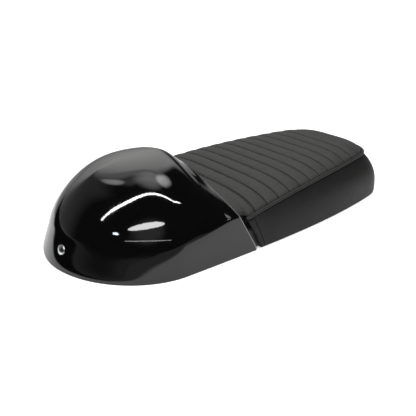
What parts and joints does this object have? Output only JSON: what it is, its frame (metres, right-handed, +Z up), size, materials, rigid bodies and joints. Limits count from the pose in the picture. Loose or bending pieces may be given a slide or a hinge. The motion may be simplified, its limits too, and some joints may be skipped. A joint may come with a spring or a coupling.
{
  "type": "cafe racer seat",
  "caption": "Single motorcycle seat with a cross-pleated pad, piped edge and a screwed-on gloss tail cowl over a moulded base pan with studs",
  "frame": {"origin": "under the middle of the seat, in the plane of its lower edge", "axes": "+X to the nose of the seat, +Y to its left side, +Z up"},
  "size_m": [0.64, 0.302, 0.14],
  "materials": {
    "cowl_gloss": "gloss black moulded shell, very smooth with a faint ripple",
    "bright_steel": "bright plated steel screw and washer",
    "zinc_steel": "dull zinc-plated steel",
    "brass": "plain turned brass insert",
    "pan_plastic": "black moulded plastic with a light texture",
    "foam": "moulded polyurethane foam",
    "grained_vinyl": "dark grey grained vinyl, sewn in pleats",
    "smooth_vinyl": "black vinyl with a soft sheen",
    "piping_vinyl": "black vinyl over a cord",
    "rubber": "black moulded rubber"
  },
  "bodies": {
    "root": {"seat_cowl": "cowl_gloss", "cowl_screw": "bright_steel", "cowl_washer": "bright_steel", "cowl_insert": "brass", "cowl_tabs": "zinc_steel", "tab_screws": "zinc_steel", "tab_inserts": "brass", "base_pan": "pan_plastic", "pad_foam": "foam", "top_panel": "grained_vinyl", "side_panel": "smooth_vinyl", "rear_panel": "smooth_vinyl", "piping": "piping_vinyl", "cover_staples": "zinc_steel", "mount_studs": "zinc_steel", "stud_washers": "zinc_steel", "stud_nuts": "zinc_steel", "rubber_buffers": "rubber", "front_hook": "zinc_steel", "hook_rivets": "zinc_steel"}
  },
  "joints": []
}
